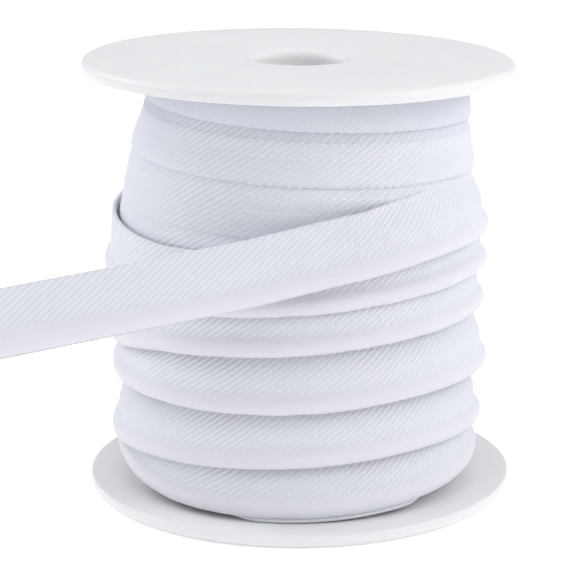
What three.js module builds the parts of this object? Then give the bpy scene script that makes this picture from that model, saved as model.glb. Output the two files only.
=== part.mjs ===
// A roll of piping trim on a plastic spool that stands on its bottom flange.
// Millimetres, +Z up. The trim is a woven tape with a corded bead along its lower edge.
import * as THREE from 'three';
import { mergeVertices } from 'three/addons/utils/BufferGeometryUtils.js';

// Spool
const spoolHeight = 81.2;
const flangeRadius = 40;
const flangeThickness = 2.4;
const rimRound = 1.3;
const boreRadius = 8.6;
const boreLip = 1.8;
const neckWall = 1.3;
const neckLength = 9;
const coreWall = 2;
const topFlangeLean = THREE.MathUtils.degToRad(0.75);
const clearance = 0.3;
const leanClearance = 0.25;
const spoolSides = 72;
const roundSteps = 3;
const weldDistance = 1e-4;

// Tape
const tapeWidth = 11.7;
const beadWidth = 3.7;
const beadEndWidth = 6;
const beadProud = 1.25;
const beadBack = 0.5;
const tapeThickness = 1;
const tuckIn = 0.4;

// Where the free end leaves the roll: at this angle from the front, towards the right side
const leaveAngle = 17;
const looseLength = 74;
const looseDrop = 0.12;
const looseSettle = 0.9;
const settleLength = 24;
const looseSteps = 10;

// Facets and creases of the roll
const rollStepDegrees = 6;
const endFaceDegrees = 0.7;
const outlineStep = 0.5;
const edgeStep = 0.3;
const footIn = 0.6;
const creaseIn = 0.3;
const grooveLeast = 0.5;
const grooveSlope = 3;
const grooveDepth = 5;

// Height of each outer turn's beaded edge above the surface, outermost turn first
const edgeHeights = [
  { front: 45.5, rightFront: 49.3, right: 48.8 },
  { left: 41.6, leftFront: 39.6, front: 40.7, rightFront: 42.4, right: 42.2 },
  { left: 28.2, leftFront: 31.5, front: 33.4, rightFront: 35.0, right: 34.6 },
  { left: 22.4, leftFront: 22.0, front: 22.7, rightFront: 24.0, right: 22.9 },
  { left: 10.0, leftFront: 11.2, front: 12.7, rightFront: 13.7, right: 12.2 },
  { left: 7.0, leftFront: 3.5, front: 2.8, rightFront: 4.1, right: 6.4 },
];

// Radius of the flat's outer face on the same turns
const flatRadii = [
  { front: 36.3, rightFront: 35.2, right: 34.2 },
  { backLeft: 36.4, left: 35.4, leftFront: 34.6, front: 33.7, rightFront: 33.7, right: 34.0 },
  { backLeft: 33.8, left: 34.4, leftFront: 33.7, front: 33.6, rightFront: 33.6, right: 33.6 },
  { left: 34.2, leftFront: 33.7, front: 33.7, rightFront: 33.9, right: 34.3 },
  { left: 34.5, leftFront: 33.9, front: 33.6, rightFront: 33.5, right: 33.3 },
  { left: 33.5, leftFront: 33.3, front: 33.3, rightFront: 33.0, right: 32.5 },
];
const sideAngles = { backLeft: -125, left: -90, leftFront: -45, front: 0, rightFront: 45, right: 90 };
const windingEnd = 1976;

// The layers under the outer turns, from the bottom up: radius, and shift of the centre to the right
const bodyRows = [
  { height: 2.75, radius: 31.0, shift: 0 },
  { height: 3.4, radius: 32.2, shift: 0 },
  { height: 8.0, radius: 32.7, shift: -0.2 },
  { height: 30.0, radius: 32.9, shift: 0 },
  { height: 53.0, radius: 33.0, shift: -0.1 },
  { height: 57.9, radius: 32.8, shift: 0.1 },
  { height: 61.5, radius: 32.5, shift: 0.3 },
  { height: 63.3, radius: 31.9, shift: 0.4 },
  { height: 65.8, radius: 31.9, shift: 0.6 },
  { height: 68.1, radius: 31.2, shift: 0.9 },
  { height: 70.9, radius: 30.8, shift: 1.4 },
  { height: 72.7, radius: 30.2, shift: 1.6 },
  { height: 74.8, radius: 30.7, shift: 1.8 },
  { height: 76.7, radius: 30.2, shift: 1.4 },
  { height: 77.9, radius: 28.8, shift: 1.2 },
];

const cloth = new THREE.MeshStandardMaterial({ color: 0xf1f3f8, roughness: 0.85, metalness: 0 });
const plastic = new THREE.MeshStandardMaterial({ color: 0xe4e6e8, roughness: 0.4, metalness: 0 });

const neckRadius = boreRadius + neckWall;
const coreInner = neckRadius + clearance;
const coreOuter = coreInner + coreWall;

// Points of a round corner in a profile, from one angle to another
function roundCorner(centreX, centreY, radius, startDegrees, endDegrees) {
  const points = [];
  for (let step = 0; step <= roundSteps; step++) {
    const angle = THREE.MathUtils.degToRad(startDegrees + ((endDegrees - startDegrees) * step) / roundSteps);
    points.push(new THREE.Vector2(centreX + radius * Math.cos(angle), centreY + radius * Math.sin(angle)));
  }
  return points;
}

// A ring turned from a closed profile of radius and height
function turned(profile) {
  const geometry = new THREE.LatheGeometry([...profile, profile[0].clone()], spoolSides);
  geometry.rotateX(Math.PI / 2);
  return welded(geometry);
}

function welded(geometry) {
  geometry.deleteAttribute('normal');
  geometry.deleteAttribute('uv');
  return mergeVertices(geometry, weldDistance);
}

// The flange lies on z = 0, with its rounded outer face down and its neck up
function flangeGeometry() {
  return turned([
    ...roundCorner(boreRadius + boreLip, boreLip, boreLip, 180, 270),
    ...roundCorner(flangeRadius - rimRound, rimRound, rimRound, 270, 360),
    new THREE.Vector2(flangeRadius, flangeThickness),
    new THREE.Vector2(neckRadius, flangeThickness),
    new THREE.Vector2(neckRadius, neckLength),
    new THREE.Vector2(boreRadius, neckLength),
  ]);
}

function coreGeometry() {
  const low = flangeThickness + clearance;
  const high = spoolHeight - flangeThickness - clearance - leanClearance;
  return turned([
    new THREE.Vector2(coreInner, low),
    new THREE.Vector2(coreOuter, low),
    new THREE.Vector2(coreOuter, high),
    new THREE.Vector2(coreInner, high),
  ]);
}

// Section of the tape: rise above the beaded edge, and out from the flat's outer face
function tapeSection(bead, back) {
  return [
    { rise: 0, out: -0.2 },
    { rise: 0.05 * bead, out: 0.4 * beadProud },
    { rise: 0.25 * bead, out: 0.8 * beadProud },
    { rise: 0.5 * bead, out: beadProud },
    { rise: 0.75 * bead, out: 0.9 * beadProud },
    { rise: bead, out: 0.3 * beadProud },
    { rise: 1.25 * bead, out: 0 },
    { rise: tapeWidth, out: -tuckIn },
    { rise: tapeWidth, out: -tuckIn - tapeThickness },
    { rise: bead, out: -tapeThickness },
    { rise: 0.6 * bead, out: -tapeThickness - back },
    { rise: 0.15 * bead, out: -tapeThickness - back },
  ];
}

// The table's values in the order in which the tape is wound, as angle and value
function windingStations(table) {
  const stations = [];
  table.forEach((row, turn) => {
    for (const [side, angle] of Object.entries(sideAngles)) {
      if (row[side] !== undefined) stations.push({ angle: 360 * turn + angle, value: row[side] });
    }
  });
  return stations;
}

// Smooth value at an angle, by a cubic between the two stations beside it
function valueAt(stations, angle) {
  const last = stations.length - 2;
  const found = stations.findIndex((station) => station.angle > angle) - 1;
  const index = found < 0 ? last : Math.min(found, last);
  const slope = (i) => {
    const before = stations[Math.max(i - 1, 0)];
    const after = stations[Math.min(i + 1, stations.length - 1)];
    return (after.value - before.value) / (after.angle - before.angle);
  };
  const start = stations[index];
  const end = stations[index + 1];
  const span = end.angle - start.angle;
  const part = Math.min((angle - start.angle) / span, 1);
  const ease = part * part * (3 - 2 * part);
  const startPull = span * slope(index) * part * (1 - part) * (1 - part);
  const endPull = span * slope(index + 1) * part * part * (part - 1);
  return start.value + (end.value - start.value) * ease + startPull + endPull;
}

const heightStations = windingStations(edgeHeights);
const radiusStations = windingStations(flatRadii);

// Place on the wound tape: the flat's outer face at the height of the beaded edge, and the way out
function woundPlace(angle) {
  const turn = THREE.MathUtils.degToRad(angle);
  const radius = valueAt(radiusStations, angle);
  const out = new THREE.Vector3(Math.sin(turn), -Math.cos(turn), 0);
  const point = out.clone().multiplyScalar(radius);
  point.z = valueAt(heightStations, angle);
  return { point, out };
}

// Place on the free end, this far along the straight line on which it leaves the roll
function loosePlace(distance) {
  const { point, out } = woundPlace(leaveAngle);
  const along = new THREE.Vector3(out.y, -out.x, -looseDrop);
  const place = point.clone().addScaledVector(along, distance);
  place.z -= looseSettle * THREE.MathUtils.smoothstep(distance, 0, settleLength);
  const bead = THREE.MathUtils.lerp(beadWidth, beadEndWidth, (distance / looseLength) ** 2);
  return { point: place, out, section: tapeSection(bead, beadBack) };
}

// A closed band through the tape's section at a row of places, wound inwards
function tapeGeometry(places) {
  const count = places[0].section.length;
  const positions = [];
  for (const { point, out, section } of places) {
    for (const corner of section) {
      const vertex = point.clone().addScaledVector(out, corner.out);
      vertex.z += corner.rise;
      positions.push(vertex.x, vertex.y, vertex.z);
    }
  }
  const indices = [];
  for (let place = 0; place < places.length - 1; place++) {
    for (let corner = 0; corner < count; corner++) {
      const a = place * count + corner;
      const b = place * count + ((corner + 1) % count);
      indices.push(a, a + count, b, b, a + count, b + count);
    }
  }
  const outline = places[0].section.map((corner) => new THREE.Vector2(corner.out, corner.rise));
  const lastPlace = (places.length - 1) * count;
  for (const [a, b, c] of THREE.ShapeUtils.triangulateShape(outline, [])) {
    indices.push(a, b, c);
    indices.push(lastPlace + a, lastPlace + c, lastPlace + b);
  }
  const geometry = new THREE.BufferGeometry();
  geometry.setAttribute('position', new THREE.Float32BufferAttribute(positions, 3));
  geometry.setIndex(indices);
  return geometry;
}

// Radius of the layers under the outer turns, at a height and an angle from the front
function bodyRadius(height, angle) {
  const found = bodyRows.findIndex((row) => row.height > height);
  const index = found < 0 ? bodyRows.length - 1 : Math.max(found, 1);
  const low = bodyRows[index - 1];
  const high = bodyRows[index];
  const part = THREE.MathUtils.clamp((height - low.height) / (high.height - low.height), 0, 1);
  const shift = THREE.MathUtils.lerp(low.shift, high.shift, part);
  const toRight = Math.sin(THREE.MathUtils.degToRad(angle));
  return THREE.MathUtils.lerp(low.radius, high.radius, part) + shift * toRight;
}

// The outer turns that pass one angle, lowest first
function turnsAt(angle) {
  const turns = [];
  for (let wound = angle; wound <= windingEnd; wound += 360) {
    turns.unshift({ height: valueAt(heightStations, wound), radius: valueAt(radiusStations, wound) });
  }
  return turns;
}

// Out from the layers to the top edge of the last turn, with a groove where the turn stands loose
function topEdge(turn, angle) {
  const height = turn.height + tapeWidth;
  const inner = turn.radius - tuckIn - tapeThickness;
  const gap = inner - bodyRadius(height, angle);
  if (gap < grooveLeast) return [];
  const depth = Math.min(grooveDepth, grooveSlope * gap);
  return [
    { radius: inner, height },
    { radius: inner, height: height - depth },
    { radius: bodyRadius(height, angle), height: height - depth },
  ];
}

// Outline of the roll at one angle, from the foot of its bore up the outside and back to the bore
function rollOutline(angle) {
  const bore = coreOuter + clearance;
  const bottom = bodyRows[0].height;
  const top = bodyRows[bodyRows.length - 1].height;
  const turns = turnsAt(angle);
  const face = tapeSection(beadWidth, 0).filter((corner) => corner.rise > 0 && corner.out > -tapeThickness);
  const outline = [{ radius: bore, height: bottom }];
  const addBody = (from, to) => {
    for (const { height } of bodyRows) {
      if (height > from && height < to) outline.push({ radius: bodyRadius(height, angle), height });
    }
  };
  addBody(0, turns[0].height - outlineStep);
  outline.push({ radius: turns[0].radius - footIn, height: turns[0].height });
  turns.forEach((turn, index) => {
    const above = turns[index + 1];
    for (const corner of face) {
      const height = turn.height + corner.rise;
      const clear = !above || height < above.height - outlineStep;
      if (clear) outline.push({ radius: turn.radius + corner.out, height });
    }
    if (above) outline.push({ radius: Math.min(turn.radius, above.radius) - creaseIn, height: above.height });
  });
  const last = turns[turns.length - 1];
  const edge = last.height + tapeWidth;
  outline.push(...topEdge(last, angle));
  outline.push({ radius: bodyRadius(edge, angle), height: edge + edgeStep });
  addBody(edge + edgeStep + outlineStep, top + outlineStep);
  outline.push({ radius: bore, height: top });
  return outline;
}

// Triangles between two outlines, always across the shorter of the two ways
function stitched(first, second, firstStart, secondStart) {
  const indices = [];
  let i = 0;
  let j = 0;
  while (i < first.length - 1 || j < second.length - 1) {
    const canFirst = i < first.length - 1;
    const canSecond = j < second.length - 1;
    const byFirst = canFirst ? first[i + 1].distanceTo(second[j]) : Infinity;
    const bySecond = canSecond ? first[i].distanceTo(second[j + 1]) : Infinity;
    if (byFirst < bySecond) {
      indices.push(firstStart + i, secondStart + j, firstStart + i + 1);
      i++;
    } else {
      indices.push(firstStart + i, secondStart + j, secondStart + j + 1);
      j++;
    }
  }
  indices.push(firstStart + i, secondStart + j, firstStart, firstStart, secondStart + j, secondStart);
  return indices;
}

// The roll: one outline after another round the spool, with a steep end face where the free end leaves
function rollGeometry() {
  const angles = [];
  for (let angle = leaveAngle; angle < leaveAngle + 360; angle += rollStepDegrees) angles.push(angle);
  angles.push(leaveAngle + 360 - endFaceDegrees);
  const loops = angles.map((angle) => {
    const turn = THREE.MathUtils.degToRad(angle);
    return rollOutline(angle).map(
      ({ radius, height }) => new THREE.Vector3(radius * Math.sin(turn), -radius * Math.cos(turn), height),
    );
  });
  const sizes = loops.map((loop) => loop.length);
  const starts = sizes.map((size, index) => sizes.slice(0, index).reduce((sum, before) => sum + before, 0));
  const indices = loops.flatMap((loop, index) => {
    const next = (index + 1) % loops.length;
    return stitched(loop, loops[next], starts[index], starts[next]);
  });
  const geometry = new THREE.BufferGeometry().setFromPoints(loops.flat());
  geometry.setIndex(indices);
  return geometry;
}

function looseGeometry() {
  const endFace = valueAt(radiusStations, leaveAngle) * THREE.MathUtils.degToRad(endFaceDegrees);
  const places = [];
  for (let step = looseSteps; step >= 0; step--) {
    places.push(loosePlace(endFace + clearance + (looseLength * step) / looseSteps));
  }
  return tapeGeometry(places);
}

function piece(name, geometry, material) {
  const mesh = new THREE.Mesh(geometry, material);
  mesh.name = name;
  return mesh;
}

const spool = new THREE.Group();
const bottomFlange = piece('flange_bottom', flangeGeometry(), plastic);
const topFlange = piece('flange_top', flangeGeometry(), plastic);
topFlange.rotation.set(Math.PI, -topFlangeLean, 0);
topFlange.position.z = spoolHeight;
spool.add(bottomFlange, topFlange, piece('core', coreGeometry(), plastic));

const trim = new THREE.Group();
trim.add(piece('trim_roll', rollGeometry(), cloth), piece('loose_end', looseGeometry(), cloth));

// The whole stands on z = 0 with the middle of its outer box on the Z axis
const part = new THREE.Group();
part.add(spool, trim);
part.updateMatrixWorld(true);
const middle = new THREE.Box3().setFromObject(part, true).getCenter(new THREE.Vector3());
part.position.set(-middle.x, -middle.y, 0);

export default part;
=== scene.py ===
import math
import bmesh
import bpy
from mathutils import Matrix, Vector, noise


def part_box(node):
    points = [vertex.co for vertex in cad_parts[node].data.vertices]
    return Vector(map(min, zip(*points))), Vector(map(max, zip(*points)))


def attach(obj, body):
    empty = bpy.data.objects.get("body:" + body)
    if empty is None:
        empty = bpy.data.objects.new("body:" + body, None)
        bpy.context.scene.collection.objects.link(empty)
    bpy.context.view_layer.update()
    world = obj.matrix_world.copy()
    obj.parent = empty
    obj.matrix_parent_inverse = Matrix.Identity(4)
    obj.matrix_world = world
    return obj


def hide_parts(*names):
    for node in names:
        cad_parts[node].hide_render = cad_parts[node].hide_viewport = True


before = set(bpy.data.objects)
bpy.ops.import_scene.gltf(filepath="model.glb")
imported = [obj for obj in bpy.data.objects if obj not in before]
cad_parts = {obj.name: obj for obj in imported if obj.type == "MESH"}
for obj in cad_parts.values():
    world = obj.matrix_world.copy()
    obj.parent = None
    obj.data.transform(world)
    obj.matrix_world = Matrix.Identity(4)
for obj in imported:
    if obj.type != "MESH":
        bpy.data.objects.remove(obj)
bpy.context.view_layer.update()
mm = 0.001
coreLow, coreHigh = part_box("core")
spoolAxis = Vector(((coreLow[0] + coreHigh[0]) / 2, (coreLow[1] + coreHigh[1]) / 2, 0))
print("frame loaded, spool axis at", [round(value, 5) for value in spoolAxis])


# small helpers

def toLinear(hexColour):
    channels = [int(hexColour[i:i + 2], 16) / 255 for i in (1, 3, 5)]
    return [c / 12.92 if c <= 0.04045 else ((c + 0.055) / 1.055) ** 2.4 for c in channels] + [1.0]


def addNode(tree, kind, settings=None, links=None):
    node = tree.nodes.new(kind)
    for name, value in (settings or {}).items():
        if isinstance(name, str) and hasattr(node, name):
            setattr(node, name, value)
        else:
            node.inputs[name].default_value = value
    for name, socket in (links or {}).items():
        tree.links.new(socket, node.inputs[name])
    return node


def newMaterial(name):
    material = bpy.data.materials.new(name)
    material.use_nodes = True
    material.node_tree.nodes.clear()
    return material, material.node_tree


def deselectAll():
    if bpy.context.object and bpy.context.object.mode != "OBJECT":
        bpy.ops.object.mode_set(mode="OBJECT")
    bpy.ops.object.select_all(action="DESELECT")


def makeActive(obj):
    deselectAll()
    obj.select_set(True)
    bpy.context.view_layer.objects.active = obj


def smoothStep(low, high, value):
    t = min(max((value - low) / (high - low), 0), 1)
    return t * t * (3 - 2 * t)


def ripple(x, y, seed):
    # slow even unevenness between -1 and 1
    return noise.noise(Vector((x, y, seed)))


def fromFront(angle):
    # the same place round the roll, between -180 and 180 degrees from the front
    return (angle + 180) % 360 - 180


def lift(height):
    return Vector((0, 0, height))


# shapes of the wound tape, in millimetres round the spool's axis

windingTables = {
    "leaveAngle": 17,  # where the free end leaves, from the front towards the right
    "looseDrop": 0.12,  # how far the free end falls in each millimetre
    "looseSettle": 0.9,  # and how far it sinks once it has left the roll
    "settleLength": 24,
    # lower edge of each turn, from the floor
    "edgeHeights": [
        {"front": 45.5, "rightFront": 49.3, "right": 48.8},
        {"left": 41.6, "leftFront": 39.6, "front": 40.7, "rightFront": 42.4, "right": 42.2},
        {"left": 28.2, "leftFront": 31.5, "front": 33.4, "rightFront": 35.0, "right": 34.6},
        {"left": 22.4, "leftFront": 22.0, "front": 22.7, "rightFront": 24.0, "right": 22.9},
        {"left": 10.0, "leftFront": 11.2, "front": 12.7, "rightFront": 13.7, "right": 12.2},
        {"left": 7.0, "leftFront": 3.6, "front": 3.15, "rightFront": 4.35, "right": 6.4},
    ],
    # how far out the flat of each turn lies
    "flatRadii": [
        {"front": 36.3, "rightFront": 35.2, "right": 34.2},
        {"backLeft": 36.4, "left": 35.4, "leftFront": 34.6, "front": 33.7, "rightFront": 33.7,
         "right": 34.0},
        {"backLeft": 33.8, "left": 34.4, "leftFront": 33.7, "front": 33.6, "rightFront": 33.6,
         "right": 33.6},
        {"left": 34.2, "leftFront": 33.7, "front": 33.7, "rightFront": 33.9, "right": 34.3},
        {"left": 34.5, "leftFront": 33.9, "front": 33.6, "rightFront": 33.5, "right": 33.3},
        {"left": 33.5, "leftFront": 33.3, "front": 33.3, "rightFront": 33.0, "right": 32.5},
    ],
    "windingEnd": 1976,  # degrees from the front of the first turn
}
sideAngles = {"backLeft": -125, "left": -90, "leftFront": -45, "front": 0, "rightFront": 45, "right": 90}
leaveAngle = windingTables["leaveAngle"]


def stationsOf(table):
    stations = []
    for turn, row in enumerate(table):
        for side, angle in sideAngles.items():
            if side in row:
                stations.append((360 * turn + angle, row[side]))
    return stations


def valueAt(stations, angle):
    # a cubic between the two stations beside the angle
    index = 0
    while index < len(stations) - 2 and stations[index + 1][0] <= angle:
        index += 1

    def slope(i):
        before = stations[max(i - 1, 0)]
        after = stations[min(i + 1, len(stations) - 1)]
        return (after[1] - before[1]) / (after[0] - before[0])

    start, end = stations[index], stations[index + 1]
    span = end[0] - start[0]
    part = min((angle - start[0]) / span, 1)
    ease = part * part * (3 - 2 * part)
    startPull = span * slope(index) * part * (1 - part) ** 2
    endPull = span * slope(index + 1) * part * part * (part - 1)
    return start[1] + (end[1] - start[1]) * ease + startPull + endPull


heightStations = stationsOf(windingTables["edgeHeights"])
radiusStations = stationsOf(windingTables["flatRadii"])


def outwards(angle):
    turn = math.radians(angle)
    return Vector((math.sin(turn), -math.cos(turn), 0))


# tape: one woven tape, its lower edge wrapped round a cord

tape = {
    "width": 11.7,
    "thickness": 0.8,
    "bead": 3.7,  # height of the corded edge on the roll
    "endBead": 6.0,  # and at the far end, where it hangs free
    "proud": 1.25,  # how far the cord stands out of the flat
    "tuckFrom": 5.5,  # above this the flat leans in under the next turn
    "twillAlong": 0.61,  # ridges a millimetre along the tape
    "twillAcross": 0.89,  # ridges a millimetre across it
    "ribPitch": 0.475,  # millimetres between two warp yarns
}

# rise as a share of the bead's height, and out as a share of how far it stands proud
beadProfile = [
    (0.02, 0.12), (0.06, 0.42), (0.15, 0.7), (0.29, 0.91), (0.46, 1.0), (0.62, 0.96),
    (0.76, 0.8), (0.87, 0.56), (0.96, 0.32), (1.05, 0.14), (1.15, 0.05), (1.3, 0.01),
]

# how strongly the weave shows round the roll, as the light falls differently on each side: angle from the
# front, diagonal ridges, upright ribs; it scales the bumps and the painted light and shade of the weave
weaveLooks = [
    (-180, 0.8, 0.1), (-75, 0.35, 0.1), (-50, 0.8, 0.1), (-26, 0.9, 0.12), (-12, 0.5, 0.35), (0, 0.3, 0.5),
    (12, 0.4, 0.7), (24, 0.7, 0.9), (40, 0.5, 0.6), (60, 0.25, 0.2), (90, 0.3, 0.1), (180, 0.8, 0.1),
]
weave = {
    "flatFrom": 0.85, "flatFull": 1.1,  # where the bead's smooth face ends, as a share of its height
    "beadRidges": 0.06, "beadRibs": 0.12,  # the weave is stretched nearly smooth over the cord
    "creaseShade": 0.38, "creaseShadeFrom": 0.01, "creaseShadeTo": 0.13,  # how dark the painted shade on the bead's lower lip is
}


def tapeSection(bead):
    # from under the bead up the face, over the top edge and down the back
    width, proud, back = tape["width"], tape["proud"], -tape["thickness"]
    points = [(0.03, -0.62), (0.0, -0.22)] + [(rise * bead, out * proud) for rise, out in beadProfile]
    start = 1.45 * bead
    points += [(start + (width - 0.4 - start) * step / 5, 0.0) for step in range(6)]
    points += [(width - 0.12, -0.04), (width, -0.18), (width, -0.6), (width - 0.12, -0.76)]
    points.append((width - 0.5, back))
    start = width - 1.8
    points += [(start + (1.3 * bead - start) * step / 3, back) for step in range(4)]
    cordBack = [(0.93, -1.0), (0.76, -1.28), (0.54, -1.44), (0.31, -1.42), (0.15, -1.22), (0.05, -0.95)]
    points += [(rise * bead, out) for rise, out in cordBack]
    return points


def lookAt(angle):
    turn = fromFront(angle)
    for low, high in zip(weaveLooks, weaveLooks[1:]):
        if turn <= high[0]:
            part = smoothStep(low[0], high[0], turn)
            return [low[i] + (high[i] - low[i]) * part for i in (1, 2)]


# the layer under the outer turns: a flatter bead, and a ledge where its second seam runs
innerSection = [
    (0.03, -0.62), (0.0, -0.3), (0.08, -0.05), (0.3, 0.12), (0.8, 0.24), (1.6, 0.31), (2.5, 0.32),
    (3.4, 0.27), (4.1, 0.18), (4.6, 0.1), (4.85, 0.05), (5.05, 0.03), (5.5, 0.04), (6.2, 0.05),
    (6.9, 0.05), (7.4, 0.04), (7.6, 0.0), (7.72, -0.1), (8.0, -0.18), (8.7, -0.28), (9.5, -0.42),
    (10.6, -0.75), (11.5, -1.1), (11.7, -1.4), (11.6, -1.8), (10.6, -1.9), (9.0, -1.7), (7.4, -1.3),
    (5.6, -1.1), (4.0, -1.15), (2.4, -1.2), (1.0, -1.15), (0.22, -0.95),
]


def sweepTape(name, places):
    # each place gives where a corner of the section lands, the section itself, the millimetres
    # along the tape, the bead's height and the weave's look there
    mesh = bpy.data.meshes.new(name)
    bm = bmesh.new()
    uvLayer = bm.loops.layers.uv.new("weave")
    lookLayer = bm.verts.layers.float_color.new("look")
    rings = []
    for place in places:
        ring = []
        for rise, out in place["section"]:
            corner = bm.verts.new(place["corner"](rise, out))
            share = rise / place["bead"]
            flat = smoothStep(weave["flatFrom"], weave["flatFull"], share)
            ridges, ribs = place["look"]
            least = place.get("onBead", weave["beadRidges"])
            leastRibs = max(weave["beadRibs"], least - 0.2)
            # the flat takes the darker, bluer painted shade that lies under the bead above; the inner layer
            # takes it all over
            shade = 1 if "onBead" in place else flat
            dark = place.get("creaseShade", weave["creaseShade"])
            # painted shade on the bead's lower lip, darkest at its edge
            creaseShade = 1 - dark + dark * smoothStep(weave["creaseShadeFrom"], weave["creaseShadeTo"], share)
            corner[lookLayer] = (ridges * max(flat, least), ribs * max(flat, leastRibs), shade, creaseShade)
            ring.append(corner)
        rings.append(ring)
    count = len(places[0]["section"])
    for ring in range(len(places) - 1):
        for corner in range(count):
            following = (corner + 1) % count
            face = bm.faces.new((rings[ring][corner], rings[ring + 1][corner],
                                 rings[ring + 1][following], rings[ring][following]))
            corners = ((ring, corner), (ring + 1, corner), (ring + 1, following), (ring, following))
            for loop, (i, j) in zip(face.loops, corners):
                loop[uvLayer].uv = (places[i]["along"], places[i]["section"][j][0])
            face.smooth = True
    bm.faces.new(rings[0])
    bm.faces.new(list(reversed(rings[-1])))
    bmesh.ops.recalc_face_normals(bm, faces=bm.faces)
    bm.to_mesh(mesh)
    bm.free()
    obj = bpy.data.objects.new(name, mesh)
    bpy.context.scene.collection.objects.link(obj)
    makeActive(obj)
    bpy.ops.object.shade_smooth_by_angle(angle=math.radians(55))
    return obj


# free end of the tape, from the roll to its cut end

looseEnd = {
    "length": 74,
    "step": 0.25,
    "tooth": 0.04,  # the yarns stand proud under the bead
    "fray": 0.12,
    "toothPitch": 0.95,
    "wave": 0.25,
    "lookOver": 12,  # the weave changes from the roll's look to its own over this length
    "look": (0.6, 0.14),
}


def looseCorner(distance):
    out = outwards(leaveAngle)
    along = Vector((out.y, -out.x, -windingTables["looseDrop"]))
    radius = valueAt(radiusStations, leaveAngle)
    start = out * radius + lift(valueAt(heightStations, leaveAngle)) + along * distance
    start.z -= windingTables["looseSettle"] * smoothStep(0, windingTables["settleLength"], distance)

    def corner(rise, outBy):
        tooth = looseEnd["tooth"] * math.sin(2 * math.pi * distance / looseEnd["toothPitch"])
        tooth += looseEnd["fray"] * ripple(distance * 2.3, 0, 41)
        fray = tooth * (1 - smoothStep(0, 0.5, rise)) if outBy > -1 else 0
        wave = looseEnd["wave"] * smoothStep(0, 15, distance) * ripple(distance * 0.06, rise * 0.1, 3)
        lean = outerTurns["tucks"][0][1] * smoothStep(tape["tuckFrom"], tape["width"], rise)
        point = start + out * (outBy + wave - lean) + lift(rise + fray)
        return spoolAxis + point * mm
    return corner


def makeLooseEnd():
    steps = round(looseEnd["length"] / looseEnd["step"])
    places = []
    for step in range(steps + 1):
        distance = looseEnd["length"] * step / steps
        bead = tape["bead"] + (tape["endBead"] - tape["bead"]) * (distance / looseEnd["length"]) ** 2
        away = smoothStep(0, looseEnd["lookOver"], distance)
        look = [wound + (loose - wound) * away for wound, loose in zip(lookAt(leaveAngle), looseEnd["look"])]
        places.append({"corner": looseCorner(distance), "along": -distance, "section": tapeSection(bead),
                       "bead": bead, "look": look})
    return sweepTape("loose_end_tape", places)


# outer turns, each bead over the flat of the turn below

outerTurns = {
    "step": 1.2,  # degrees
    # winding angle, and how far the flat's top edge is pressed in
    # it stands off only in the loop at the left
    "tucks": [
        (17, 1.2), (30, 2.4), (48, 2.9), (90, 2.0), (150, 1.75),
        (215, 0.35), (325, 0.4), (370, 1.6), (420, 1.9),
    ],
    "edgeWave": 0.12,  # unevenness of the edges' height
    "faceWave": 0.1,  # and of the face
    "smoothFrom": 1250,  # winding angle from which the left side's weave is pulled smooth
    "smoothBy": 0.85,  # share of the ridges that goes
    "endSink": 2.7,  # the last of the tape goes in under the turns
    "endOver": 60,  # degrees
}


def tuckAt(angle):
    tucks = outerTurns["tucks"]
    for low, high in zip(tucks, tucks[1:]):
        if angle <= high[0]:
            return low[1] + (high[1] - low[1]) * smoothStep(low[0], high[0], angle)
    return tucks[-1][1]


def woundCorner(angle):
    out = outwards(angle)
    end = windingTables["windingEnd"]
    sunk = outerTurns["endSink"] * smoothStep(end - outerTurns["endOver"], end, angle)
    radius = valueAt(radiusStations, angle) - sunk
    height = valueAt(heightStations, angle)
    tuck = tuckAt(angle)
    fade = smoothStep(leaveAngle, leaveAngle + 12, angle)

    def corner(rise, outBy):
        inBy = tuck * smoothStep(tape["tuckFrom"], tape["width"], rise)
        edge = outerTurns["edgeWave"] * fade * ripple(angle * 0.13, rise * 0.05, 7)
        face = outerTurns["faceWave"] * fade * ripple(angle * 0.09, rise * 0.35, 11)
        point = out * (radius + outBy - inBy + face) + lift(height + rise + edge)
        return spoolAxis + point * mm
    return corner


def pulledSmooth(angle, front):
    # 1 at the left side, where the weave is pulled smooth, and 0 at the front and the back
    turn = fromFront(angle)
    return smoothStep(-165, -120, turn) * (1 - smoothStep(front - 30, front, turn))


def outerLook(angle):
    ridges, ribs = lookAt(angle)
    if angle > outerTurns["smoothFrom"]:
        ridges *= 1 - outerTurns["smoothBy"] * pulledSmooth(angle, -30)
    return ridges, ribs


def makeOuterTurns():
    steps = round((windingTables["windingEnd"] - leaveAngle) / outerTurns["step"])
    places = []
    along = 0.0
    angle = leaveAngle
    for step in range(steps + 1):
        places.append({"corner": woundCorner(angle), "along": along, "section": tapeSection(tape["bead"]),
                       "bead": tape["bead"], "look": outerLook(angle)})
        following = leaveAngle + (windingTables["windingEnd"] - leaveAngle) * (step + 1) / steps
        along += math.radians(following - angle) * valueAt(radiusStations, angle)
        angle = following
    return sweepTape("outer_turns", places)


# a narrow fold of the tape that peeps out under the lowest bead

lowerFold = {
    "from": 1774, "to": 1845, "step": 0.5,  # winding angles, in degrees
    "below": 0.6,  # how far it shows under the bead's edge
    "outBy": 0.8,
    "rough": 0.08,
    "behind": 0.4,  # behind the flat of the turn, where it starts and ends
    "rollRadius": 33,
    "look": (0.2, 0.4),
}
foldSection = [(0.0, -1.0), (0.0, -0.1), (0.08, 0.06), (0.3, 0.14), (0.6, 0.1), (0.8, -0.1), (0.8, -1.0)]


def foldCorner(angle):
    out = outwards(angle)
    shown = smoothStep(lowerFold["from"], lowerFold["from"] + 14, angle)
    shown *= 1 - smoothStep(lowerFold["to"] - 10, lowerFold["to"], angle)
    height = valueAt(heightStations, angle) - lowerFold["below"] * shown
    radius = valueAt(radiusStations, angle) + lowerFold["outBy"] * shown - lowerFold["behind"]

    def corner(rise, outBy):
        rough = lowerFold["rough"] * ripple(angle * 0.9, 0, 51)
        point = out * (radius + outBy + rough) + lift(height + rise + max(rough, 0))
        return spoolAxis + point * mm
    return corner


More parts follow.
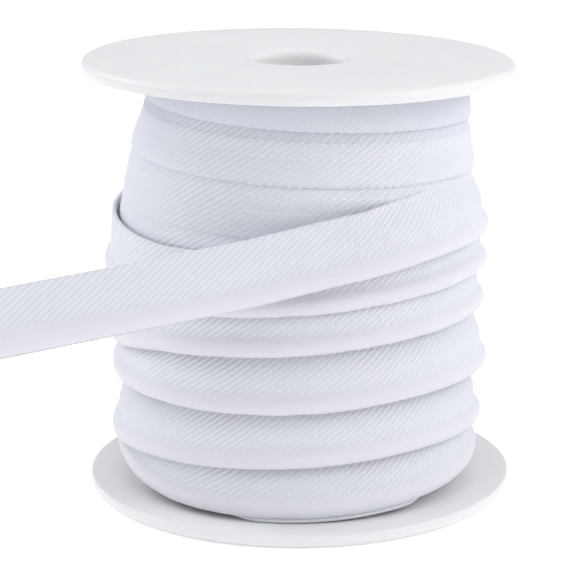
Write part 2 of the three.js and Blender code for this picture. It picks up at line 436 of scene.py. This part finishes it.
def makeLowerFold():
    steps = round((lowerFold["to"] - lowerFold["from"]) / lowerFold["step"])
    places = []
    for step in range(steps + 1):
        angle = lowerFold["from"] + lowerFold["step"] * step
        along = math.radians(angle) * lowerFold["rollRadius"]
        places.append({"corner": foldCorner(angle), "along": along, "section": foldSection,
                       "bead": 1, "look": lowerFold["look"]})
    return sweepTape("lower_fold", places)


# the layer below, which shows in the upper third

innerTurns = {
    "seamHeight": 72.7,  # lower edge of the topmost bead at the front
    "pitch": 9.45,  # from one turn to the next
    "startAngle": -215,
    "endAngle": 1200,
    "step": 1.5,
    "topLimit": 77.7,  # the top flange stands above this
    "rollRadius": 31.5,
    "beadWidth": 4.85,
    "beadLook": 0.85,  # the weave goes over this bead almost in full
    "furrow": 0.3,  # depth under the topmost bead
    "topRidges": 0.4,  # the strip under the flange is pulled smooth
    # how dark the painted shade on the inner beads' lower lips is
    "creaseShade": 0.06,
    "edgeWave": 0.12,
    "faceWave": 0.1,
    "pulledFlat": 0.95,  # share of the beads that is pulled flat, low on the left
    "pulledBelow": 60, "roundAbove": 66,  # heights from the floor
}
# height, radius, and how far the roll leans out to the right there
bodyRows = [
    (2.75, 31.0, 0.0), (3.4, 32.2, 0.0), (30.0, 32.4, 0.0), (53.0, 32.6, -0.9), (57.9, 32.5, -0.1),
    (61.5, 32.2, 0.3), (65.8, 31.5, 0.5), (68.1, 31.0, 0.8), (70.9, 30.5, 1.2), (72.7, 30.1, 1.4),
    (74.8, 29.9, 1.5), (76.7, 29.6, 1.4), (77.9, 28.9, 1.2),
]


def bodyRadius(height, angle):
    shift = math.sin(math.radians(angle))
    for low, high in zip(bodyRows, bodyRows[1:]):
        if height <= high[0]:
            part = max((height - low[0]) / (high[0] - low[0]), 0)
            radius = low[1] + (high[1] - low[1]) * part
            return radius + (low[2] + (high[2] - low[2]) * part) * shift
    return bodyRows[-1][1] + bodyRows[-1][2] * shift


def innerHeight(angle):
    return innerTurns["seamHeight"] - innerTurns["pitch"] * angle / 360


def innerEdge(angle):
    return innerTurns["edgeWave"] * ripple(angle * 0.11, 0, 29)


def innerCorner(angle):
    out = outwards(angle)
    height = innerHeight(angle)
    room = innerTurns["topLimit"] - height
    bead = innerTurns["beadWidth"]

    def corner(rise, outBy):
        if room < tape["width"]:
            # under the flange the strip narrows, its flat first
            beadRoom = min(bead, max(room - 0.3, 0.1))
            flatRoom = max(room - beadRoom, 0.1)
            if rise > bead:
                rise = beadRoom + (rise - bead) * flatRoom / (tape["width"] - bead)
            else:
                rise = rise * beadRoom / bead
        z = min(height + rise, innerTurns["topLimit"])
        if outBy > -0.6:
            # on the face alone: the back stays where it is
            low = 1 - smoothStep(innerTurns["pulledBelow"], innerTurns["roundAbove"], z)
            outBy *= 1 - innerTurns["pulledFlat"] * pulledSmooth(angle, -10) * low
        wave = innerTurns["faceWave"] * ripple(angle * 0.08, rise * 0.3, 23)
        wave -= innerTurns["furrow"] * smoothStep(68, 70.5, z) * smoothStep(7.5, 8.6, rise)
        edge = innerEdge(angle) * smoothStep(0, 2, room)
        point = out * (bodyRadius(z, angle) + outBy + wave) + lift(z + edge)
        return spoolAxis + point * mm
    return corner


def makeInnerTurns():
    steps = round((innerTurns["endAngle"] - innerTurns["startAngle"]) / innerTurns["step"])
    places = []
    for step in range(steps + 1):
        angle = innerTurns["startAngle"] + innerTurns["step"] * step
        ridges, ribs = lookAt(angle)
        ridges *= 1 - pulledSmooth(angle, -35)
        ridges *= innerTurns["topRidges"] + (1 - innerTurns["topRidges"]) * smoothStep(90, 180, angle)
        along = math.radians(angle) * innerTurns["rollRadius"]
        # painted shade on the lower lip, none where the beads are pulled flat
        creaseShade = innerTurns["creaseShade"] * (1 - pulledSmooth(angle, -10))
        places.append({"corner": innerCorner(angle), "along": along, "section": innerSection,
                       "bead": innerTurns["beadWidth"], "look": (ridges, ribs),
                       "onBead": innerTurns["beadLook"], "creaseShade": creaseShade})
    return sweepTape("inner_turns", places)


# wound body under both layers, a ring spun from its outline

woundBody = {
    "bore": 12.5,
    "under": 1.0,  # how far it lies behind the inner turns
    "sides": 120,
    "look": (0.5, 0.1, 1, 1),  # ridges, ribs, the flat's painted shade in full, no painted shade on a lower lip
}


def spinRing(name, profile, sides):
    # profile: (radius, height) in millimetres round a closed outline
    deselectAll()
    bpy.ops.mesh.primitive_circle_add(vertices=len(profile), radius=1, fill_type="NOTHING")
    ring = bpy.context.object
    ring.name = ring.data.name = name
    for vertex, (radius, height) in zip(ring.data.vertices, profile):
        vertex.co = spoolAxis + Vector((radius, 0, height)) * mm
    bpy.ops.object.mode_set(mode="EDIT")
    bpy.ops.mesh.select_all(action="SELECT")
    bpy.ops.mesh.spin(steps=sides, angle=2 * math.pi, center=spoolAxis, axis=(0, 0, 1))
    bpy.ops.mesh.select_all(action="SELECT")
    bpy.ops.mesh.remove_doubles(threshold=1e-6)
    bpy.ops.mesh.normals_make_consistent(inside=False)
    bpy.ops.object.mode_set(mode="OBJECT")
    return ring


def makeWoundBody():
    profile = [(woundBody["bore"], bodyRows[0][0])]
    for height, radius, shift in bodyRows:
        profile.append((radius - woundBody["under"] - abs(shift), height))
    profile.append((woundBody["bore"], bodyRows[-1][0]))
    body = spinRing("wound_body", profile, woundBody["sides"])
    look = body.data.attributes.new("look", "FLOAT_COLOR", "POINT")
    for value in look.data:
        value.color = woundBody["look"]
    weaveMap = body.data.uv_layers.new(name="weave")
    for face in body.data.polygons:
        middle = face.center - spoolAxis
        for loop in face.loop_indices:
            place = body.data.vertices[body.data.loops[loop].vertex_index].co - spoolAxis
            turn = math.atan2(middle.x, -middle.y) + place.xy.angle_signed(middle.xy, 0)
            weaveMap.data[loop].uv = (turn * bodyRows[1][1], place.z / mm)
    makeActive(body)
    bpy.ops.object.shade_smooth_by_angle(angle=math.radians(40))
    return body


# stitches on the lower layer: chain stitches of one thread

stitches = {
    "pitch": 1.8,
    "length": 1.0,
    "width": 0.15,
    "sides": 6,
    "rows": [(0.12, 0.02), (4.9, 0.06), (7.58, -0.01)],  # rise on the tape, and how far out
    "highest": 77.2,
    "lowest": 50,
    "middle": 8,  # elsewhere the stitches have sunk into the tape
    "reach": 26,
    "dip": 0.12,  # how far its ends go into the cloth
    "uneven": 0.5,
    # along the stitch from its middle, and how thick it is there
    "taper": [(-1, 0.35), (-0.75, 0.9), (0, 1.0), (0.75, 0.9), (1, 0.35)],
}


def addStitch(bm, angle, rise, radius, z):
    out = outwards(angle)
    side = Vector((-out.y, out.x, -innerTurns["pitch"] / (2 * math.pi * radius)))
    side.normalize()
    up = out.cross(side)
    uneven = ripple(angle * 1.7, rise, 61)
    centre = out * (radius + 0.04 * uneven) + lift(z + innerEdge(angle) + 0.06 * uneven)
    reach = stitches["length"] / 2 * (1 + stitches["uneven"] * ripple(angle * 2.9, rise, 67))
    count = stitches["sides"]
    rings = []
    for share, size in stitches["taper"]:
        thick = stitches["width"] / 2 * size
        ring = []
        for k in range(count):
            turn = 2 * math.pi * k / count
            offset = out * (math.cos(turn) * thick) + up * (math.sin(turn) * thick)
            point = centre + side * (share * reach) + offset - out * (stitches["dip"] * abs(share) ** 3)
            ring.append(bm.verts.new(spoolAxis + point * mm))
        rings.append(ring)
    for first, second in zip(rings, rings[1:]):
        for k in range(count):
            bm.faces.new((first[k], first[(k + 1) % count], second[(k + 1) % count], second[k]))
    bm.faces.new(list(reversed(rings[0])))
    bm.faces.new(rings[-1])


def makeStitches():
    mesh = bpy.data.meshes.new("seam_stitches")
    bm = bmesh.new()
    for rise, outBy in stitches["rows"]:
        angle = innerTurns["startAngle"] + 40 + 3 * rise
        while angle < innerTurns["endAngle"] - 100:
            z = innerHeight(angle) + rise
            radius = bodyRadius(z, angle) + outBy
            onTape = rise < innerTurns["topLimit"] - innerHeight(angle)
            inReach = abs(fromFront(angle) - stitches["middle"]) < stitches["reach"]
            if onTape and inReach and stitches["lowest"] < z < stitches["highest"]:
                addStitch(bm, angle, rise, radius, z)
            angle += math.degrees(stitches["pitch"] / radius)
    bmesh.ops.recalc_face_normals(bm, faces=bm.faces)
    bm.to_mesh(mesh)
    bm.free()
    obj = bpy.data.objects.new("seam_stitches", mesh)
    bpy.context.scene.collection.objects.link(obj)
    makeActive(obj)
    bpy.ops.object.shade_smooth()
    return obj


# spool flanges: a plain moulded disc with a rounded rim, a bore lip and a neck

flange = {
    "radius": 40,
    "thickness": 2.4,
    "rimRound": 1.3,  # rounding of the rim on the outer face
    "rimBack": 0.35,  # and on the side of the roll
    "bore": 8.6,
    "boreLip": 1.8,
    "neckWall": 1.3,
    "neckLength": 9,
    "height": 81.2,  # outer face of the top flange
    "lean": 0.75,  # degrees
    "sides": 180,
    "roundSteps": 6,
}


def arc(centre, radius, start, end, steps):
    points = []
    for step in range(steps + 1):
        angle = math.radians(start + (end - start) * step / steps)
        points.append((centre[0] + radius * math.cos(angle), centre[1] + radius * math.sin(angle)))
    return points


def makeFlange(name, isTop):
    radius, thickness = flange["radius"], flange["thickness"]
    bore, neck = flange["bore"], flange["neckLength"]
    lip, rim, back = flange["boreLip"], flange["rimRound"], flange["rimBack"]
    neckOuter = bore + flange["neckWall"]
    profile = arc((bore + lip, lip), lip, 180, 270, flange["roundSteps"])
    profile += [(radius * 0.4, 0), (radius * 0.7, 0)]
    profile += arc((radius - rim, rim), rim, 270, 360, flange["roundSteps"])
    profile += arc((radius - back, thickness - back), back, 0, 90, 3)
    profile += [(radius * 0.7, thickness), (neckOuter, thickness), (neckOuter, neck), (bore, neck)]
    disc = spinRing(name, profile, flange["sides"])
    if isTop:
        turn = Matrix.Rotation(math.radians(flange["lean"]), 4, "Y") @ Matrix.Rotation(math.pi, 4, "X")
        place = Matrix.Translation(spoolAxis + lift(flange["height"] * mm))
        disc.data.transform(place @ turn @ Matrix.Translation(-spoolAxis))
    makeActive(disc)
    bpy.ops.object.shade_smooth_by_angle(angle=math.radians(35))
    return disc


# materials

def makeTwill():
    # White cotton twill, woven: matt with a faint sheen, its ridges painted light and its furrows painted in
    # bluish shade
    # The map is in millimetres, so every rate and noise scale here is for each millimetre of tape
    material, tree = newMaterial("cotton_twill")
    uv = addNode(tree, "ShaderNodeUVMap", {"uv_map": "weave"})
    split = addNode(tree, "ShaderNodeSeparateXYZ", links={0: uv.outputs[0]})
    along, rise = split.outputs[0], split.outputs[1]
    # the ridges wander over about three millimetres, as hand-wound tape does
    wobble = addNode(tree, "ShaderNodeTexNoise", {"Scale": 0.35, "Detail": 2.0, "Roughness": 0.5},
                     {"Vector": uv.outputs[0]})
    wobbleBy = addNode(tree, "ShaderNodeMath", {"operation": "MULTIPLY", 1: 0.9}, {0: wobble.outputs["Fac"]})

    def wave(alongRate, acrossRate, shift=None):
        a = addNode(tree, "ShaderNodeMath", {"operation": "MULTIPLY", 1: 2 * math.pi * alongRate}, {0: along})
        b = addNode(tree, "ShaderNodeMath", {"operation": "MULTIPLY", 1: 2 * math.pi * acrossRate}, {0: rise})
        slope = addNode(tree, "ShaderNodeMath", {"operation": "ADD"}, {0: a.outputs[0], 1: b.outputs[0]})
        if shift:
            slope = addNode(tree, "ShaderNodeMath", {"operation": "ADD"}, {0: slope.outputs[0], 1: shift})
        sine = addNode(tree, "ShaderNodeMath", {"operation": "SINE"}, {0: slope.outputs[0]})
        return addNode(tree, "ShaderNodeMath", {"operation": "MULTIPLY_ADD", 1: 0.5, 2: 0.5},
                       {0: sine.outputs[0]})

    look = addNode(tree, "ShaderNodeAttribute", {"attribute_name": "look"})
    lookSplit = addNode(tree, "ShaderNodeSeparateColor", links={0: look.outputs["Color"]})
    ridge = wave(tape["twillAlong"], -tape["twillAcross"], wobbleBy.outputs[0])
    rib = wave(1 / tape["ribPitch"], 0.0)
    ridgeHeight = addNode(tree, "ShaderNodeMath", {"operation": "MULTIPLY"},
                          {0: ridge.outputs[0], 1: lookSplit.outputs[0]})
    # a rib stands highest where a ridge crosses it
    crossing = addNode(tree, "ShaderNodeMath", {"operation": "MULTIPLY_ADD", 1: 0.65, 2: 0.35},
                       {0: ridge.outputs[0]})
    ribCrossed = addNode(tree, "ShaderNodeMath", {"operation": "MULTIPLY"},
                         {0: rib.outputs[0], 1: crossing.outputs[0]})
    ribHeight = addNode(tree, "ShaderNodeMath", {"operation": "MULTIPLY"},
                        {0: ribCrossed.outputs[0], 1: lookSplit.outputs[1]})
    height = addNode(tree, "ShaderNodeMath", {"operation": "ADD"},
                     {0: ridgeHeight.outputs[0], 1: ribHeight.outputs[0]})
    # painted light and shade of the weave: the ridge tops lighter, the furrows darker
    shade = addNode(tree, "ShaderNodeMapRange",
                    {"From Min": 0.0, "From Max": 1.2, "To Min": 0.25, "To Max": 1.0},
                    {"Value": height.outputs[0]})
    # painted light and shade: the bead painted lighter and neutral, the flat darker and bluer as it lies in
    # shade under the bead
    beadAndFlatShade = addNode(tree, "ShaderNodeMix", {"data_type": "RGBA"}, {0: lookSplit.outputs[2]})
    beadAndFlatShade.inputs[6].default_value = toLinear("#D8D9DF")
    beadAndFlatShade.inputs[7].default_value = toLinear("#CFD2DC")
    # painted highlight on the ridge tops, mixed in by the ridges' height
    tint = addNode(tree, "ShaderNodeMix", {"data_type": "RGBA"},
                   {0: shade.outputs[0], 6: beadAndFlatShade.outputs[2]})
    tint.inputs[7].default_value = toLinear("#E9E9EE")
    # painted shade: the lower lip lies in the groove between two turns, and its colour is darkened there as
    # shade
    creaseShaded = addNode(tree, "ShaderNodeMix", {"data_type": "RGBA", "blend_type": "MULTIPLY"},
                      {6: tint.outputs[2], 7: look.outputs["Alpha"]})
    creaseShaded.inputs[0].default_value = 1.0
    # loose fibres, six to a millimetre
    fuzz = addNode(tree, "ShaderNodeTexNoise", {"Scale": 6.0, "Detail": 2.0}, {"Vector": uv.outputs[0]})
    fuzzBy = addNode(tree, "ShaderNodeMath", {"operation": "MULTIPLY_ADD", 1: 0.3},
                     {0: fuzz.outputs["Fac"], 2: height.outputs[0]})
    bump = addNode(tree, "ShaderNodeBump", {"Strength": 1.0, "Distance": 0.0001},
                   {"Height": fuzzBy.outputs[0]})
    shader = addNode(tree, "ShaderNodeBsdfPrincipled",
                     {"Roughness": 0.9, "IOR": 1.5, "Specular IOR Level": 0.25, "Sheen Weight": 0.25,
                      "Sheen Roughness": 0.5},
                     {"Base Color": creaseShaded.outputs[2], "Normal": bump.outputs[0]})
    addNode(tree, "ShaderNodeOutputMaterial", links={"Surface": shader.outputs[0]})
    return material


def makeThread():
    # White polyester sewing thread: finer and a little glossier than the tape
    material, tree = newMaterial("sewing_thread")
    place = addNode(tree, "ShaderNodeTexCoord")
    # twist of the thread, 0.2 mm: the real one is finer and wouldn't show
    twist = addNode(tree, "ShaderNodeTexNoise", {"Scale": 5000.0, "Detail": 1.0},
                    {"Vector": place.outputs["Object"]})
    bump = addNode(tree, "ShaderNodeBump", {"Strength": 0.5, "Distance": 0.00004},
                   {"Height": twist.outputs["Fac"]})
    shader = addNode(tree, "ShaderNodeBsdfPrincipled",
                     {"Roughness": 0.55, "Base Color": toLinear("#F8F9FC"), "Sheen Weight": 0.2},
                     {"Normal": bump.outputs[0]})
    addNode(tree, "ShaderNodeOutputMaterial", links={"Surface": shader.outputs[0]})
    return material


def makePlastic():
    # White polypropylene, injection moulded: milky, satin, with the faint flow mottling of a large flat disc
    material, tree = newMaterial("moulded_polypropylene")
    place = addNode(tree, "ShaderNodeTexCoord")
    # patches of about 17 mm
    mottle = addNode(tree, "ShaderNodeTexNoise", {"Scale": 60.0, "Detail": 3.0},
                     {"Vector": place.outputs["Object"]})
    tint = addNode(tree, "ShaderNodeMix", {"data_type": "RGBA"}, {0: mottle.outputs["Fac"]})
    tint.inputs[6].default_value = toLinear("#E3E5E7")
    tint.inputs[7].default_value = toLinear("#EAEBEC")
    # the mould's grain, drawn at 0.7 mm so that it shows
    grain = addNode(tree, "ShaderNodeTexNoise", {"Scale": 1500.0, "Detail": 2.0},
                    {"Vector": place.outputs["Object"]})
    bump = addNode(tree, "ShaderNodeBump", {"Strength": 0.25, "Distance": 0.00002},
                   {"Height": grain.outputs["Fac"]})
    shader = addNode(tree, "ShaderNodeBsdfPrincipled",
                     {"Roughness": 0.42, "IOR": 1.49, "Subsurface Weight": 0.15, "Subsurface Scale": 0.002},
                     {"Base Color": tint.outputs[2], "Normal": bump.outputs[0]})
    addNode(tree, "ShaderNodeOutputMaterial", links={"Surface": shader.outputs[0]})
    return material


def wear(obj, material):
    obj.data.materials.clear()
    obj.data.materials.append(material)


twill = makeTwill()
thread = makeThread()
plastic = makePlastic()
print("materials made")

looseTape = makeLooseEnd()
outer = makeOuterTurns()
fold = makeLowerFold()
inner = makeInnerTurns()
body = makeWoundBody()
seams = makeStitches()
clothPieces = (looseTape, outer, fold, inner, body, seams)
print("tape wound:", [(obj.name, len(obj.data.polygons)) for obj in clothPieces])
bottomFlange = makeFlange("bottom_flange", False)
topFlange = makeFlange("top_flange", True)
print("flanges turned")

for obj in (looseTape, outer, fold, inner, body):
    wear(obj, twill)
wear(seams, thread)
wear(bottomFlange, plastic)
wear(topFlange, plastic)
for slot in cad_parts["core"].material_slots:
    slot.material = plastic

for obj in clothPieces + (bottomFlange, topFlange):
    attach(obj, "root")
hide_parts("loose_end")
for obj in (outer, fold, inner, body, seams):
    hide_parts("trim_roll")
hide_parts("flange_bottom")
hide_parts("flange_top")
print("pieces ride and stand for their nodes")

# floor, light and camera

studio = {
    "floor": 4.0,  # metres across
    "floorGlow": 0.25,
    "horizon": 0.4,  # strength of the sky's light
    "zenith": 0.74,
    "aim": 0.04,  # the lamps point at this height
}
deselectAll()
bpy.ops.mesh.primitive_plane_add(size=studio["floor"], location=(0, 0, -0.0001))
floor = bpy.context.object
floor.name = floor.data.name = "studio_floor"
floorMaterial, floorTree = newMaterial("studio_paper")
floorShader = addNode(floorTree, "ShaderNodeBsdfPrincipled",
                      {"Roughness": 0.9, "Base Color": toLinear("#F7F7F8"), "Specular IOR Level": 0.0,
                       "Emission Color": toLinear("#FFFFFF"), "Emission Strength": studio["floorGlow"]})
addNode(floorTree, "ShaderNodeOutputMaterial", links={"Surface": floorShader.outputs[0]})
wear(floor, floorMaterial)
bpy.ops.object.transform_apply(location=True)

world = bpy.data.worlds.new("studio_world")
bpy.context.scene.world = world
world.use_nodes = True
sky = world.node_tree
skyPlace = addNode(sky, "ShaderNodeTexCoord")
skySplit = addNode(sky, "ShaderNodeSeparateXYZ", links={0: skyPlace.outputs["Generated"]})
skyLight = addNode(sky, "ShaderNodeMapRange",
                   {"From Min": 0.0, "From Max": 1.0,
                    "To Min": studio["horizon"], "To Max": studio["zenith"]},
                   {"Value": skySplit.outputs[2]})
sky.nodes["Background"].inputs["Color"].default_value = toLinear("#F8F8FB")
sky.links.new(skyLight.outputs[0], sky.nodes["Background"].inputs["Strength"])

lamps = {
    "lampRight": {"place": (0.75, -0.35, 0.55), "size": 0.6, "power": 3.2},
    "lampLeft": {"place": (-0.8, -0.45, 0.5), "size": 0.7, "power": 1.3},
    "lampTop": {"place": (0.0, -0.1, 0.9), "size": 0.9, "power": 0.6},
    "lampBackLeft": {"place": (-0.75, 0.35, 0.6), "size": 0.6, "power": 3.2},
    "lampBackRight": {"place": (0.75, 0.4, 0.6), "size": 0.6, "power": 1.6},
}
target = spoolAxis + lift(studio["aim"])
for name, lamp in lamps.items():
    light = bpy.data.lights.new(name, "AREA")
    light.shape = "DISK"
    light.size = lamp["size"]
    light.energy = lamp["power"]
    lampObject = bpy.data.objects.new(name, light)
    bpy.context.scene.collection.objects.link(lampObject)
    lampObject.location = Vector(lamp["place"])
    lampObject.rotation_euler = (target - lampObject.location).to_track_quat("-Z", "Y").to_euler()

photoCamera = {
    "place": (-0.3024, -405.737, 142.475),  # millimetres from the spool's axis
    "focal": 2214.5,  # pixels
    "pictureWidth": 576,
    "sensor": 36,
    "pitch": 0.2539, "yaw": 0.0044, "roll": -0.0036,  # radians
}
pitch, yaw, roll = photoCamera["pitch"], photoCamera["yaw"], photoCamera["roll"]
levelRight = Vector((math.cos(yaw), math.sin(yaw), 0))
levelAhead = Vector((-math.sin(yaw), math.cos(yaw), 0))
ahead = math.cos(pitch) * levelAhead - Vector((0, 0, math.sin(pitch)))
above = math.sin(pitch) * levelAhead + Vector((0, 0, math.cos(pitch)))
right = math.cos(roll) * levelRight + math.sin(roll) * above
up = math.cos(roll) * above - math.sin(roll) * levelRight
cameraData = bpy.data.cameras.new("photo_camera")
cameraData.sensor_width = photoCamera["sensor"]
cameraData.lens = photoCamera["focal"] * photoCamera["sensor"] / photoCamera["pictureWidth"]
cameraData.clip_start, cameraData.clip_end = 0.01, 20
camera = bpy.data.objects.new("photo_camera", cameraData)
bpy.context.scene.collection.objects.link(camera)
camera.matrix_world = Matrix.Translation(spoolAxis + Vector(photoCamera["place"]) * mm) @ Matrix(
    (right, up, -ahead)).transposed().to_4x4()
bpy.context.scene.camera = camera
bpy.context.scene.view_settings.view_transform = "Standard"
print("studio set")
